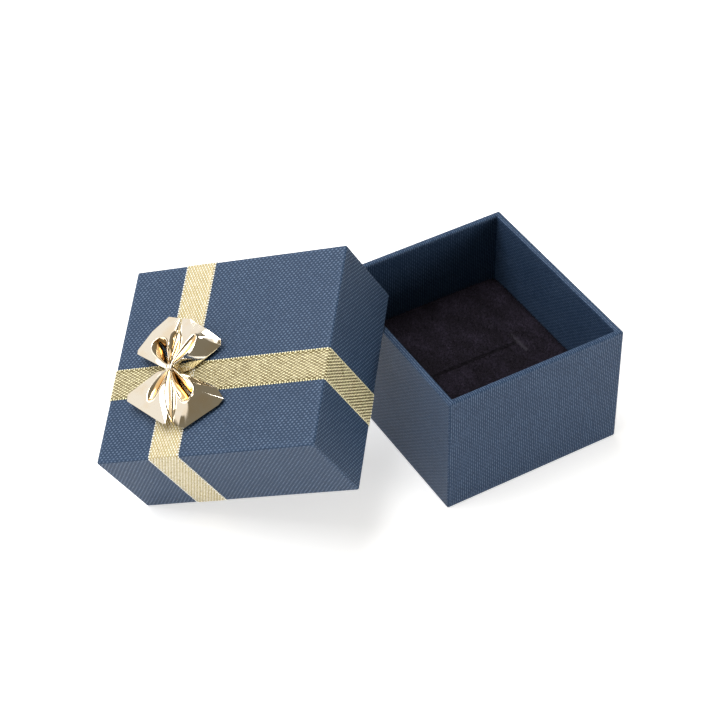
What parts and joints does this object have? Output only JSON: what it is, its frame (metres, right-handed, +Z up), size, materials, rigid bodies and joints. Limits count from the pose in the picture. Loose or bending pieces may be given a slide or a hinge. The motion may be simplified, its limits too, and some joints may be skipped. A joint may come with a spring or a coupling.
{
  "type": "jewelry gift box",
  "caption": "Small rectangular two-piece gift box, navy paper over board, with a slit black velvet ring pad; the ribboned lid with a foil bow leans open against the base.",
  "frame": {"origin": "centre of the base's underside, on the surface that the box stands on", "axes": "+Z up; X along the base's shorter side, with the leaning lid on the -X side; Y along the base's longer side"},
  "size_m": [0.1119, 0.0707, 0.0534],
  "materials": {
    "navy_paper": "embossed satin",
    "bottom_paper": "matte",
    "lining_paper": "matte",
    "board": "matte",
    "stay_tape": "matte",
    "velvet": "matte",
    "foam": "matte",
    "gold_ribbon": "satin metallic",
    "pale_gold_ribbon": "satin metallic",
    "gold_foil": "polished",
    "glue": "matte"
  },
  "bodies": {
    "base": {"base_board": "board", "base_corner_stay_front_left": "stay_tape", "base_corner_stay_front_right": "stay_tape", "base_corner_stay_back_right": "stay_tape", "base_corner_stay_back_left": "stay_tape", "base_wrap": "navy_paper", "base_bottom_sheet": "bottom_paper", "base_floor_liner": "lining_paper"},
    "insert": {"insert_velvet": "velvet", "insert_foam": "foam", "insert_card": "board"},
    "lid": {"lid_board": "board", "lid_corner_stay_front_left": "stay_tape", "lid_corner_stay_front_right": "stay_tape", "lid_corner_stay_back_right": "stay_tape", "lid_corner_stay_back_left": "stay_tape", "lid_wrap": "navy_paper", "lid_liner": "lining_paper", "ribbon_long": "gold_ribbon", "ribbon_cross": "pale_gold_ribbon", "bow_upper_loops": "gold_foil", "bow_lower_loops": "gold_foil", "bow_tie_band": "gold_foil", "bow_glue_dot": "glue"}
  },
  "joints": [
    {"name": "lid_lift", "type": "slide", "parent": "base", "child": "lid", "axis": [0, 0, 1], "range_m": [0, 0.06]},
    {"name": "insert_lift", "type": "slide", "parent": "base", "child": "insert", "axis": [0, 0, 1], "range_m": [0, 0.017]}
  ]
}
